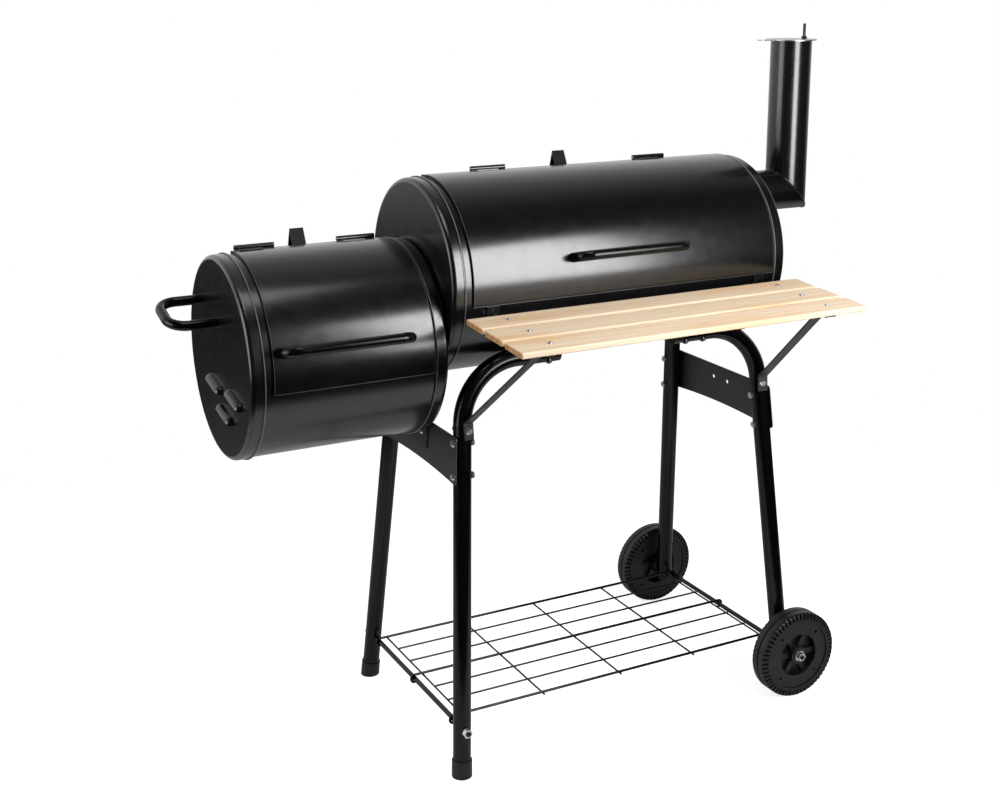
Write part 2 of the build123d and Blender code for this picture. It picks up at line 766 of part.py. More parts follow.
with BuildPart() as firebox_left_cap:
    add(drum_cap(firebox, LEFT, side_handle_holes))
    for y, z in louvres:
        sill = firebox.section(firebox.left).from_local_coords((y, z))
        sill_plane = Plane(origin=sill, x_dir=(0, sill_y, sill_z), z_dir=(1, 0, 0))
        inner = half_slot(LOUVRE_LENGTH - 2 * CAP_SHEET, LOUVRE_HEIGHT - CAP_SHEET)
        with BuildSketch(sill_plane):
            add(inner)
        extrude(amount=CAP_CORNER, mode=Mode.SUBTRACT)
        with BuildSketch(sill_plane):
            add(half_slot(LOUVRE_LENGTH, LOUVRE_HEIGHT))
            add(inner, mode=Mode.SUBTRACT)
        revolve(axis=Axis(sill, (0, -sill_y, -sill_z)), revolution_arc=90)
save(firebox_left_cap.part, "firebox_left_cap")

# Bolts round the throat, heads inside the firebox and nuts inside the barrel
with BuildPart() as firebox_joint_bolts:
    for y, z in throat_bolts:
        seat_point = barrel.section(barrel.left - CAP_SHEET).from_local_coords(
            (throat_y + y, throat_z + z)
        )
        add(bolt(Plane(origin=seat_point, z_dir=(-1, 0, 0)), 2 * CAP_SHEET))
save(firebox_joint_bolts.part, "firebox_joint_bolts")

# Shells: the barrel's is bored for the bolts of its rails and table arms
rail_bolt_seats = [
    seat for side in (LEFT, RIGHT) for depth in (FRONT, REAR) for seat in rail_seats(side, depth)
]
arm_bolt_seats = [arm_seat(side) for side in (LEFT, RIGHT)]
with BuildPart() as barrel_shell:
    add(drum_shell(barrel))
    for seat in rail_bolt_seats + arm_bolt_seats:
        with BuildSketch(seat):
            Circle(BOLT_HOLE)
        extrude(amount=-(RAIL_GRIP + BOLT_NUT_HEIGHT), mode=Mode.SUBTRACT)
save(barrel_shell.part, "barrel_shell")
save(drum_shell(firebox), "firebox_shell")

with BuildPart() as barrel_bolts:
    for seat in rail_bolt_seats:
        add(bolt(seat, RAIL_GRIP))
    for seat in arm_bolt_seats:
        add(bolt(seat, ARM_GRIP + CURVE_GAP))
save(barrel_bolts.part, "barrel_bolts")

# Lids with their handles, hinges and stops
for drum, name in ((barrel, "barrel"), (firebox, "firebox")):
    save(drum_lid(drum), f"{name}_lid")
    save(lid_handle(drum), f"{name}_lid_handle")
    save(screws(handle_seats(drum)), f"{name}_handle_screws")
    save(lid_leaves(drum), f"{name}_lid_leaves")
    save(shell_leaves(drum), f"{name}_shell_leaves")
    save(lid_stop(drum), f"{name}_lid_stop")

with BuildPart() as hinge_pins:
    for drum in (barrel, firebox):
        for start in hinge_starts(drum):
            with BuildSketch(drum.section(start - HINGE_PIN_PROUD)):
                add(pin_circle(HINGE_PIN_RADIUS))
            extrude(amount=HINGE_LENGTH + 2 * HINGE_PIN_PROUD)
save(hinge_pins.part, "hinge_pins")

# Firebox side handle: a bow on the left cap, a little higher at the back
tilt_y, tilt_z = polar(1, SIDE_HANDLE_TILT)
side_handle_plane = Plane(
    origin=(
        firebox.left,
        firebox.axis_y + SIDE_HANDLE_SETBACK,
        firebox.axis_z + SIDE_HANDLE_RISE,
    ),
    x_dir=(0, -tilt_y, -tilt_z),
    z_dir=(0, tilt_z, -tilt_y),
)
side_handle_seats = [
    Plane(origin=firebox.section(firebox.left + CAP_SHEET).from_local_coords(foot), z_dir=(1, 0, 0))
    for foot in side_handle_feet
]
with BuildPart() as firebox_side_handle:
    add(
        bent_handle(side_handle_plane, SIDE_HANDLE_SPACING, 0, SIDE_HANDLE_REACH, SIDE_HANDLE_BEND)
    )
    for seat in side_handle_seats:
        with BuildSketch(seat):
            Circle(BOLT_HOLE)
        extrude(amount=-(SCREW_LENGTH + CURVE_GAP), mode=Mode.SUBTRACT)
save(firebox_side_handle.part, "firebox_side_handle")
save(screws(side_handle_seats), "side_handle_screws")

# Chimney: mitred elbow, bolted flange, and a lug inside the mouth for the damper's pivot
flue_z = BARREL_HEIGHT + CHIMNEY_RISE
pivot_x = FLUE_X + DAMPER_PIVOT
with BuildPart() as chimney:
    with BuildLine() as flue_path:
        Polyline(
            (barrel.right - FLUE_INSIDE, AXIS_Y, flue_z),
            (FLUE_X, AXIS_Y, flue_z),
            (FLUE_X, AXIS_Y, CHIMNEY_TOP),
        )
    with BuildSketch(flue_path.line ^ 0):
        Circle(FLUE_RADIUS)
        Circle(FLUE_RADIUS - SHEET, mode=Mode.SUBTRACT)
    sweep(transition=Transition.RIGHT)
    with BuildSketch(barrel.section(barrel.right)):
        with Locations((0, CHIMNEY_RISE)):
            Circle(FLUE_RADIUS + FLANGE_REACH)
            Circle(FLUE_RADIUS - SHEET / 2, mode=Mode.SUBTRACT)
        for y, z in flange_bolts:
            with Locations((y, CHIMNEY_RISE + z)):
                Circle(BOLT_HOLE, mode=Mode.SUBTRACT)
    extrude(amount=FLANGE_SHEET)
    with BuildSketch(Plane.XY.offset(CHIMNEY_TOP)):
        with Locations((pivot_x, AXIS_Y)):
            Circle(PIVOT_RADIUS + LUG_EDGE)
            with Locations((FLUE_RADIUS - DAMPER_PIVOT, 0)):
                Rectangle(2 * (FLUE_RADIUS - DAMPER_PIVOT), 2 * (PIVOT_RADIUS + LUG_EDGE))
        with Locations((FLUE_X, AXIS_Y)):
            Circle(FLUE_RADIUS - SHEET / 2, mode=Mode.INTERSECT)
        with Locations((pivot_x, AXIS_Y)):
            Circle(PIVOT_RADIUS + PIVOT_CLEARANCE, mode=Mode.SUBTRACT)
    extrude(amount=-LUG_SHEET)
save(chimney.part, "chimney")

with BuildPart() as chimney_bolts:
    for y, z in flange_bolts:
        seat_point = barrel.section(barrel.right + FLANGE_SHEET).from_local_coords(
            (y, CHIMNEY_RISE + z)
        )
        add(bolt(Plane(origin=seat_point, z_dir=(1, 0, 0)), FLANGE_SHEET + CAP_SHEET))
save(chimney_bolts.part, "chimney_bolts")

# Damper: a flat disc with a thumb tab that swings about an upright bolt
damper_z = CHIMNEY_TOP + DAMPER_GAP
with BuildPart() as chimney_damper:
    with BuildSketch(Plane.XY.offset(damper_z)):
        with Locations((FLUE_X, AXIS_Y)):
            Circle(DAMPER_RADIUS)
        tab_length = DAMPER_TAB_REACH + DAMPER_TAB_ROOT
        with Locations((FLUE_X - DAMPER_RADIUS - DAMPER_TAB_REACH + tab_length / 2, AXIS_Y)):
            RectangleRounded(tab_length, DAMPER_TAB_WIDTH, DAMPER_TAB_ROUND)
        with Locations((pivot_x, AXIS_Y)):
            Circle(PIVOT_RADIUS + PIVOT_CLEARANCE, mode=Mode.SUBTRACT)
    extrude(amount=DAMPER_SHEET)
save(chimney_damper.part, "chimney_damper")

pivot_nut_z = damper_z + DAMPER_SHEET + DAMPER_GAP
lock_nut_z = CHIMNEY_TOP - LUG_SHEET
with BuildPart() as damper_bolt:
    with BuildSketch(Plane.XY.offset(lock_nut_z - PIVOT_NUT_HEIGHT)):
        with Locations((pivot_x, AXIS_Y)):
            RegularPolygon(2 * PIVOT_RADIUS, 6)
    extrude(amount=PIVOT_NUT_HEIGHT)
    with BuildSketch(Plane.XY.offset(pivot_nut_z)):
        with Locations((pivot_x, AXIS_Y)):
            RegularPolygon(2 * PIVOT_RADIUS, 6)
    extrude(amount=PIVOT_NUT_HEIGHT)
    with BuildSketch(Plane.XY.offset(lock_nut_z - PIVOT_NUT_HEIGHT)):
        with Locations((pivot_x, AXIS_Y)):
            Circle(PIVOT_RADIUS)
    extrude(amount=CHIMNEY_TOP + PIVOT_RISE - lock_nut_z + PIVOT_NUT_HEIGHT)
    fillet(damper_bolt.faces().sort_by(Axis.Z)[-1].edges(), PIVOT_ROUND)
save(damper_bolt.part, "damper_bolt")

# Legs: each tube rises with a lean, bends inwards and ends in a rail under the barrel
rail_height = hypot(RAIL_Z, FOOT_DEPTH - RAIL_DEPTH)
axle_hole = AXLE_RADIUS + AXLE_HOLE_CLEARANCE
RIGHT_LEG_START = AXLE_Z - axle_hole - PLUG_HEADROOM - PLUG_DEPTH


def leg_start(side):
    """Height where the tube begins: in its foot cap on the left, below the axle on the right."""
    return FOOT_CAP_FLOOR if side == LEFT else RIGHT_LEG_START


def leg_tube(side, depth):
    """One bent leg with its bolt and rod holes."""
    start = leg_start(side) / RAIL_Z
    with BuildPart() as leg:
        with BuildLine(leg_plane(depth)) as path:
            FilletPolyline(
                (side * (FOOT_SPREAD - (FOOT_SPREAD - RAIL_SPREAD) * start), rail_height * start),
                (side * RAIL_SPREAD, rail_height),
                (side * RAIL_END, rail_height),
                radius=LEG_BEND,
            )
        with BuildSketch(path.line ^ 0):
            Circle(LEG_RADIUS)
            Circle(LEG_RADIUS - LEG_WALL, mode=Mode.SUBTRACT)
        sweep()
        bolted = rail_seats(side, depth) + plate_seats(side, depth, LEG_RADIUS)
        if depth == FRONT:
            bolted.append(strut_seat(side))
        for seat in bolted:
            with BuildSketch(seat):
                Circle(BOLT_HOLE)
            extrude(amount=-2 * (LEG_RADIUS + STRUT_SHEET), mode=Mode.SUBTRACT)
        at_axle = leg_point(side, depth, AXLE_Z)
        with BuildSketch(Plane(origin=at_axle, x_dir=(1, 0, 0), z_dir=(0, 1, 0))):
            Circle(axle_hole)
        extrude(amount=2 * LEG_RADIUS, both=True, mode=Mode.SUBTRACT)
    return leg.part


corners = {
    "front_left": (LEFT, FRONT),
    "rear_left": (LEFT, REAR),
    "front_right": (RIGHT, FRONT),
    "rear_right": (RIGHT, REAR),
}
for name, (side, depth) in corners.items():
    save(leg_tube(side, depth), f"{name}_leg")


def end_plug(mouth):
    """Plastic plug in a tube end; the mouth plane faces out of the tube."""
    with BuildPart() as plug:
        with BuildSketch(mouth):
            Circle(LEG_RADIUS)
        extrude(amount=PLUG_FLANGE)
        with BuildSketch(mouth):
            Circle(LEG_RADIUS - LEG_WALL - TUBE_FIT)
        extrude(amount=-PLUG_DEPTH)
    return plug.part


with BuildPart() as leg_end_plugs:
    for side, depth in corners.values():
        rail_mouth = (FRAME_MIDDLE + side * RAIL_END, AXIS_Y + depth * RAIL_DEPTH, RAIL_Z)
        add(end_plug(Plane(origin=rail_mouth, z_dir=(-side, 0, 0))))
        if side == RIGHT:
            low_mouth = leg_point(side, depth, leg_start(side))
            add(end_plug(Plane(origin=low_mouth, z_dir=-leg_axis(side, depth))))
save(leg_end_plugs.part, "leg_end_plugs")

with BuildPart() as foot_caps:
    for depth in (FRONT, REAR):
        axis = leg_axis(LEFT, depth)
        top = Plane(origin=leg_point(LEFT, depth, FOOT_CAP_HEIGHT), z_dir=axis)
        floor = Plane(origin=leg_point(LEFT, depth, FOOT_CAP_FLOOR), z_dir=axis)
        with BuildSketch(top):
            Circle(LEG_RADIUS + TUBE_FIT + FOOT_CAP_WALL)
        extrude(amount=-2 * FOOT_CAP_HEIGHT)
        with BuildSketch(floor):
            Circle(LEG_RADIUS + TUBE_FIT)
        extrude(amount=2 * FOOT_CAP_HEIGHT, mode=Mode.SUBTRACT)
    split(bisect_by=Plane.XY, keep=Keep.TOP)
save(foot_caps.part, "foot_caps")


# Side plates: the left one also carries the firebox bracket on its two middle holes
def side_plate(side):
    """Plate across two legs, with ends that follow their lean and an arched lower edge."""
    half = PLATE_HEIGHT / 2
    with BuildPart() as plate:
        with BuildSketch(side_plane(side).offset(LEG_RADIUS)) as face:
            with BuildLine():
                Polyline(
                    (-plate_half(-half), -half),
                    (-plate_half(half), half),
                    (plate_half(half), half),
                    (plate_half(-half), -half),
                )
                ThreePointArc(
                    (plate_half(-half), -half), (0, PLATE_ARCH - half), (-plate_half(-half), -half)
                )
            make_face()
            fillet(face.vertices(), PLATE_CORNER)
            with Locations((0, PLATE_HOLE_RISE)):
                with GridLocations(PLATE_HOLE_SPACING, 1, 2, 1):
                    Circle(PLATE_HOLE_RADIUS, mode=Mode.SUBTRACT)
        extrude(amount=PLATE_SHEET)
        for depth in (FRONT, REAR):
            for seat in plate_seats(side, depth, LEG_RADIUS + PLATE_SHEET):
                with BuildSketch(seat):
                    Circle(BOLT_HOLE)
                extrude(amount=-2 * PLATE_SHEET, mode=Mode.SUBTRACT)
    return plate.part


save(side_plate(LEFT), "left_side_plate")
save(side_plate(RIGHT), "right_side_plate")

# Firebox bracket: a joggled strip, welded to the firebox cap and bolted to the left plate
plate_face = side_plane(LEFT).offset(LEG_RADIUS + PLATE_SHEET)
pad_low = plate_face.from_local_coords((0, PLATE_HOLE_RISE - BRACKET_FOOT))
pad_high = plate_face.from_local_coords((0, PLATE_HOLE_RISE + BRACKET_FOOT / 2))
weld_low = pad_high.Z + BRACKET_STEP
with BuildPart() as firebox_bracket:
    bracket_plane = Plane(origin=(0, AXIS_Y, 0), x_dir=(1, 0, 0), z_dir=(0, -1, 0))
    with BuildSketch(bracket_plane):
        add(
            strip(
                [
                    (firebox.right + BRACKET_SHEET, weld_low + BRACKET_PAD),
                    (firebox.right + BRACKET_SHEET, weld_low),
                    (pad_high.X, pad_high.Z),
                    (pad_low.X, pad_low.Z),
                ],
                BRACKET_SHEET,
            )
        )
    extrude(amount=BRACKET_WIDTH / 2, both=True)
    for seat in bracket_seats(LEG_RADIUS + PLATE_SHEET + BRACKET_SHEET):
        with BuildSketch(seat):
            Circle(BOLT_HOLE)
        extrude(amount=-2 * BRACKET_SHEET, mode=Mode.SUBTRACT)
save(firebox_bracket.part, "firebox_bracket")

with BuildPart() as frame_bolts:
    for side, depth in corners.values():
        for seat in plate_seats(side, depth, LEG_RADIUS + PLATE_SHEET):
            add(bolt(seat, PLATE_SHEET + 2 * LEG_RADIUS))
    for seat in bracket_seats(LEG_RADIUS + PLATE_SHEET + BRACKET_SHEET):
        add(bolt(seat, BRACKET_SHEET + PLATE_SHEET, BRACKET_BOLT_RADIUS))
    for side in (LEFT, RIGHT):
        add(bolt(strut_seat(side), STRUT_SHEET + CURVE_GAP + 2 * LEG_RADIUS))
save(frame_bolts.part, "frame_bolts")

# Table: three boards on two flat arms, each arm hung on the barrel and propped by a strut
for index, name in enumerate(("front", "middle", "rear")):
    with BuildPart() as board:
        with BuildSketch(table_plane):
            with Locations((0, board_y(index))):
                Rectangle(TABLE_LENGTH, BOARD_WIDTH)
        extrude(amount=-BOARD_THICK)
        fillet(board.edges(), BOARD_ROUND)
        with BuildSketch(table_plane):
            with Locations((arm_x(LEFT), board_y(index)), (arm_x(RIGHT), board_y(index))):
                Circle(TABLE_BOLT_HOLE)
        extrude(amount=-BOARD_THICK, mode=Mode.SUBTRACT)
    save(board.part, f"{name}_table_board")


def table_arm(side):
    """Flat arm under the boards, its rear end turned up against the shell below the lid."""
    nose = board_y(0) - ARM_NOSE
    root = TABLE_GAP + ARM_LIP
    x = TABLE_MIDDLE + arm_x(side) - ARM_WIDTH / 2
    lip_foot = barrel.section(x).to_local_coords(
        table_plane.from_local_coords((0, TABLE_GAP, -BOARD_THICK - ARM_SHEET))
    )
    lip_end = 180 + degrees(acos(sqrt(1 - (lip_foot.Y / SHELL_RADIUS) ** 2)))
    with BuildPart() as arm:
        with BuildSketch(table_plane.offset(-BOARD_THICK)):
            with Locations((arm_x(side), (nose + root) / 2)):
                Rectangle(ARM_WIDTH, root - nose)
        extrude(amount=-ARM_SHEET)
        with BuildSketch(barrel.section(x)):
            add(
                ring_sector(
                    SHELL_RADIUS, SHELL_RADIUS + LEAF_SEAT + ARM_SHEET, ARM_LIP_TOP, lip_end
                )
            )
        extrude(amount=ARM_WIDTH)
        with BuildSketch(barrel.section(x)):
            Circle(SHELL_RADIUS + LEAF_SEAT)
        extrude(amount=ARM_WIDTH, mode=Mode.SUBTRACT)
        with BuildSketch(arm_seat(side)):
            Circle(BOLT_HOLE)
        extrude(amount=-2 * ARM_SHEET, mode=Mode.SUBTRACT)
        with BuildSketch(table_plane):
            with Locations([(arm_x(side), board_y(index)) for index in range(BOARD_COUNT)]):
                Circle(TABLE_BOLT_HOLE)
        extrude(amount=-(BOARD_THICK + 2 * ARM_SHEET), mode=Mode.SUBTRACT)
    return arm.part


def table_strut(side):
    """Bent flat bar from the leg up to the front bolt of the arm."""
    plane, top = strut_frame(side)
    along, facing = strut_tab(side)
    slope = plane.to_local_coords(plane.origin + table_plane.z_dir)
    level = Vector(slope.Y, -slope.X).normalized()
    top = Vector(top.X, top.Y)
    path = [
        facing * (LEG_RADIUS + CURVE_GAP) - along * STRUT_TAB,
        facing * (LEG_RADIUS + CURVE_GAP) + along * STRUT_TAB,
        top - level * STRUT_TAB,
        top + level * STRUT_TAB,
    ]
    with BuildPart() as strut:
        with BuildSketch(plane):
            add(strip([(point.X, point.Y) for point in path], STRUT_SHEET))
        extrude(amount=STRUT_WIDTH / 2, both=True)
        with BuildSketch(strut_seat(side)):
            Circle(BOLT_HOLE)
        extrude(amount=-2 * STRUT_SHEET, mode=Mode.SUBTRACT)
        with BuildSketch(table_plane):
            with Locations((arm_x(side), board_y(0))):
                Circle(TABLE_BOLT_HOLE)
        extrude(amount=-(BOARD_THICK + ARM_SHEET + 2 * STRUT_SHEET), mode=Mode.SUBTRACT)
    return strut.part


for side, name in ((LEFT, "left"), (RIGHT, "right")):
    save(table_arm(side), f"{name}_table_arm")
    save(table_strut(side), f"{name}_table_strut")

with BuildPart() as table_bolts:
    for side in (LEFT, RIGHT):
        for index in range(BOARD_COUNT):
            head = table_plane.from_local_coords((arm_x(side), board_y(index)))
            grip = BOARD_THICK + ARM_SHEET + (STRUT_SHEET + 2 * CURVE_GAP if index == 0 else 0)
            add(bolt(Plane(origin=head, z_dir=table_plane.z_dir), grip, TABLE_BOLT_RADIUS))
save(table_bolts.part, "table_bolts")

# Rods through the legs, the right one being the axle
rod_x = leg_point(LEFT, FRONT, AXLE_Z).X
axle_x = leg_point(RIGHT, FRONT, AXLE_Z).X
ROD_SHOULDER = AXLE_LEG_DEPTH + LEG_RADIUS + ROD_SEAT
ROD_END = ROD_SHOULDER + ROD_NUT_HEIGHT + ROD_TAIL


def rod_plane(x, y):
    """Plane across a rod at y, facing the back."""
    return Plane(origin=(x, AXIS_Y + y, AXLE_Z), x_dir=(1, 0, 0), z_dir=(0, 1, 0))


for x, end, name in ((rod_x, ROD_END, "shelf_rod"), (axle_x, AXLE_END, "wheel_axle")):
    with BuildPart() as rod:
        with BuildSketch(rod_plane(x, 0)):
            Circle(AXLE_RADIUS)
        extrude(amount=end, both=True)
    save(rod.part, name)


def collar(x, start, end, sketch):
    """Ring on a rod between two distances from the middle, on both sides."""
    with BuildPart() as pair:
        for depth in (FRONT, REAR):
            with BuildSketch(rod_plane(x, depth * start)):
                add(sketch)
                Circle(AXLE_RADIUS + AXLE_CLEARANCE, mode=Mode.SUBTRACT)
            extrude(amount=depth * (end - start))
    return pair.part


with BuildSketch() as nut_outline:
    RegularPolygon(ROD_NUT_RADIUS, 6)
with BuildSketch() as washer_outline:
    Circle(SPACER_RADIUS)
washer_start = WHEEL_OUTER + WHEEL_PLAY
with BuildPart() as rod_nuts:
    add(collar(rod_x, ROD_SHOULDER, ROD_SHOULDER + ROD_NUT_HEIGHT, nut_outline.sketch))
    add(collar(axle_x, ROD_SHOULDER, ROD_SHOULDER + SPACER_LENGTH, washer_outline.sketch))
    add(collar(axle_x, washer_start, washer_start + WASHER_SHEET, washer_outline.sketch))
    nut_start = washer_start + WASHER_SHEET
    add(collar(axle_x, nut_start, nut_start + ROD_NUT_HEIGHT, nut_outline.sketch))
save(rod_nuts.part, "rod_nuts")

# Wheels: a spoked plastic hub in a lugged tyre
TYRE_SEAT = WHEEL_RADIUS - TYRE_DEPTH
RIM_INNER = TYRE_SEAT - RIM_WALL


def wheel_plane(depth, y):
    """Plane across a wheel at a distance outwards from its inner face, facing outwards."""
    return Plane(
        origin=(axle_x, AXIS_Y + depth * (WHEEL_INNER + y), AXLE_Z),
        x_dir=(1, 0, 0),
        z_dir=(0, depth, 0),
    )


def wheel_hub(depth):
    """Broad rim with four holes, recessed web, spokes and a bored boss."""
    rim_width = WHEEL_WIDTH - 2 * RIM_INSET
    spoke_length = RIM_INNER - HUB_RADIUS + 2 * WEB_SHEET
    with BuildPart() as hub:
        with BuildSketch(wheel_plane(depth, RIM_INSET)):
            Circle(TYRE_SEAT)
            Circle(RIM_INNER, mode=Mode.SUBTRACT)
            with PolarLocations(RIM_HOLE_REACH, RIM_HOLES, start_angle=BOLT_RING_START):
                Circle(RIM_HOLE_RADIUS, mode=Mode.SUBTRACT)
        extrude(amount=rim_width)
        with BuildSketch(wheel_plane(depth, (WHEEL_WIDTH - WEB_SHEET) / 2)):
            Circle(RIM_INNER + WEB_SHEET)
        extrude(amount=WEB_SHEET)
        with BuildSketch(wheel_plane(depth, SPOKE_INSET)):
            with PolarLocations((HUB_RADIUS + RIM_INNER) / 2, SPOKE_COUNT):
                Rectangle(spoke_length, SPOKE_WIDTH)
        extrude(amount=WHEEL_WIDTH - 2 * SPOKE_INSET)
        with BuildSketch(wheel_plane(depth, 0)):
            Circle(HUB_RADIUS)
        extrude(amount=WHEEL_WIDTH)
        with BuildSketch(wheel_plane(depth, 0)):
            Circle(AXLE_RADIUS + AXLE_CLEARANCE)
        extrude(amount=WHEEL_WIDTH, mode=Mode.SUBTRACT)
    return hub.part


def wheel_tyre(depth):
    """Tyre with round shoulders, a tread groove and notches between its lugs."""
    notch_radius = WHEEL_RADIUS - LUG_NOTCH_RADIAL / 2
    with BuildPart() as tyre:
        with BuildSketch(wheel_plane(depth, 0)):
            Circle(WHEEL_RADIUS)
        extrude(amount=WHEEL_WIDTH)
        fillet(tyre.edges().filter_by(GeomType.CIRCLE), TYRE_SHOULDER)
        with BuildSketch(wheel_plane(depth, 0)):
            Circle(TYRE_SEAT + TYRE_FIT)
        extrude(amount=WHEEL_WIDTH, mode=Mode.SUBTRACT)
        with BuildSketch(wheel_plane(depth, (WHEEL_WIDTH - TREAD_GROOVE) / 2)):
            Circle(WHEEL_RADIUS)
            Circle(WHEEL_RADIUS - TREAD_DEPTH, mode=Mode.SUBTRACT)
        extrude(amount=TREAD_GROOVE, mode=Mode.SUBTRACT)
        for start in (0, WHEEL_WIDTH - LUG_NOTCH_DEPTH):
            with BuildSketch(wheel_plane(depth, start)):
                with PolarLocations(notch_radius, LUG_COUNT):
                    Rectangle(LUG_NOTCH_RADIAL, LUG_NOTCH)
            extrude(amount=LUG_NOTCH_DEPTH, mode=Mode.SUBTRACT)
    return tyre.part


for depth, name in ((FRONT, "front"), (REAR, "rear")):
    save(wheel_hub(depth), f"{name}_wheel_hub")
    save(wheel_tyre(depth), f"{name}_wheel_tyre")

# Wire shelf: every third long wire is heavy and hooks round both rods, the rest stop at the
# outer cross wires
hook_radius = AXLE_RADIUS + HOOK_CLEARANCE + HEAVY_WIRE_RADIUS
heavy_z = AXLE_Z + hook_radius
cross_z = heavy_z - HEAVY_WIRE_RADIUS - LIGHT_WIRE_RADIUS + WELD_SINK
light_z = cross_z + 2 * LIGHT_WIRE_RADIUS - WELD_SINK
first_cross = rod_x + CROSS_INSET
last_cross = axle_x - CROSS_INSET
cross_pitch = (last_cross - first_cross) / (CROSS_WIRES - 1)
wire_pitch = SHELF_DEPTH / (SHELF_WIRES - 1)
with BuildPart() as bottom_shelf:
    for index in range(SHELF_WIRES):
        y = AXIS_Y - SHELF_DEPTH / 2 + index * wire_pitch
        upright = Plane(origin=(0, y, 0), x_dir=(1, 0, 0), z_dir=(0, -1, 0))
        if index % SHELF_HEAVY_STEP == 0:
            with BuildLine(upright) as hooked:
                CenterArc((rod_x, AXLE_Z), hook_radius, 90 + HOOK_SWEEP, -HOOK_SWEEP)
                Line((rod_x, heavy_z), (axle_x, heavy_z))
                CenterArc((axle_x, AXLE_Z), hook_radius, 90, -HOOK_SWEEP)
            with BuildSketch(hooked.line ^ 0):
                Circle(HEAVY_WIRE_RADIUS)
            sweep(path=hooked.wires()[0])
        else:
            with BuildSketch(Plane.YZ.offset(first_cross)):
                with Locations((y, light_z)):
                    Circle(LIGHT_WIRE_RADIUS)
            extrude(amount=last_cross - first_cross)
    for index in range(CROSS_WIRES):
        across = Plane(
            origin=(first_cross + index * cross_pitch, AXIS_Y, cross_z),
            x_dir=(1, 0, 0),
            z_dir=(0, 1, 0),
        )
        with BuildSketch(across):
            Circle(LIGHT_WIRE_RADIUS)
        extrude(amount=SHELF_DEPTH / 2 + CROSS_OVERRUN, both=True)
save(bottom_shelf.part, "bottom_shelf")


# Grates: wire cooking grids above, slotted charcoal grates below, all on ledges in the shells
def chord(drop):
    """Half width inside the shell at a distance below the axis."""
    return sqrt(SHELL_INNER ** 2 - drop ** 2)


def ledges(drum, drops):
    """Level strips welded along both sides of the shell; a drop is the height of their top."""
    with BuildPart() as pairs:
        for drop in drops:
            low = drop + LEDGE_SHEET
            reach = chord(low) - LEDGE_WIDTH
            with BuildSketch(drum.section(drum.left + GRID_END_GAP)):
                with Locations((0, -drop - LEDGE_SHEET / 2)):
                    Rectangle(2 * SHELL_INNER, LEDGE_SHEET)
                    Rectangle(2 * reach, LEDGE_SHEET, mode=Mode.SUBTRACT)
                Circle(SHELL_INNER - LEDGE_WELD, mode=Mode.INTERSECT)
            extrude(amount=drum.length - 2 * GRID_END_GAP)
    return pairs.part


def grid_size(drop):
    """Depth of a grate that rests on ledges at this drop."""
    return 2 * (chord(drop + LEDGE_SHEET) - GRID_EDGE_GAP)


def cooking_grid(drum, left, right, drop):
    """Round-cornered wire frame with bars across it, lying on the ledges."""
    depth = grid_size(drop) - 2 * GRID_FRAME_RADIUS
    length = right - left - 2 * GRID_FRAME_RADIUS
    level = drum.axis_z - drop + GRID_FRAME_RADIUS
    centre = Plane(origin=((left + right) / 2, drum.axis_y, level))
    bars = int(length / GRID_BAR_PITCH) - 1
    with BuildPart() as grid:
        with BuildLine(centre) as loop:
            FilletPolyline(
                (-length / 2, -depth / 2),
                (length / 2, -depth / 2),
                (length / 2, depth / 2),
                (-length / 2, depth / 2),
                radius=GRID_CORNER,
                close=True,
            )
        with BuildSketch(loop.line ^ 0):
            Circle(GRID_FRAME_RADIUS)
        sweep(path=loop.wires()[0])
        across = Plane(origin=centre.origin, x_dir=(1, 0, 0), z_dir=(0, 1, 0))
        with BuildSketch(across):
            with GridLocations(GRID_BAR_PITCH, 1, bars, 1):
                Circle(GRID_BAR_RADIUS)
        extrude(amount=depth / 2, both=True)
    return grid.part


def charcoal_grate(drum, drop):
    """Flat steel grate with rows of slots."""
    depth = grid_size(drop)
    length = drum.length - 2 * (GRID_END_GAP + GRID_EDGE_GAP)
    columns = int(length / GRATE_SLOT_PITCH_X) - 1
    with BuildPart() as grate:
        with BuildSketch(Plane(origin=(drum.middle, drum.axis_y, drum.axis_z - drop))):
            Rectangle(length, depth)
            with GridLocations(GRATE_SLOT_PITCH_X, GRATE_SLOT_PITCH_Y, columns, GRATE_SLOT_ROWS):
                Rectangle(GRATE_SLOT_WIDTH, GRATE_SLOT_LENGTH, mode=Mode.SUBTRACT)
        extrude(amount=GRATE_SHEET)
    return grate.part


grid_left = barrel.left + GRID_END_GAP + GRID_EDGE_GAP
grid_right = barrel.right - GRID_END_GAP - GRID_EDGE_GAP
grid_split = (grid_left + grid_right) / 2
with BuildPart() as barrel_cooking_grids:
    add(cooking_grid(barrel, grid_left, grid_split - GRID_EDGE_GAP / 2, GRID_DROP))
    add(cooking_grid(barrel, grid_split + GRID_EDGE_GAP / 2, grid_right, GRID_DROP))
save(barrel_cooking_grids.part, "barrel_cooking_grids")
save(charcoal_grate(barrel, GRATE_DROP), "barrel_charcoal_grate")
save(ledges(barrel, (GRID_DROP, GRATE_DROP)), "barrel_ledges")

firebox_grid = cooking_grid(
    firebox,
    firebox.left + GRID_END_GAP + GRID_EDGE_GAP,
    firebox.right - GRID_END_GAP - GRID_EDGE_GAP,
    FIREBOX_GRID_DROP,
)
save(firebox_grid, "firebox_cooking_grid")
save(charcoal_grate(firebox, FIREBOX_GRATE_DROP), "firebox_charcoal_grate")
save(ledges(firebox, (FIREBOX_GRID_DROP, FIREBOX_GRATE_DROP)), "firebox_ledges")
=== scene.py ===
"""Offset smoker: studio scene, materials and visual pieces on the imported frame."""
import math

import bpy
from mathutils import Matrix, Vector


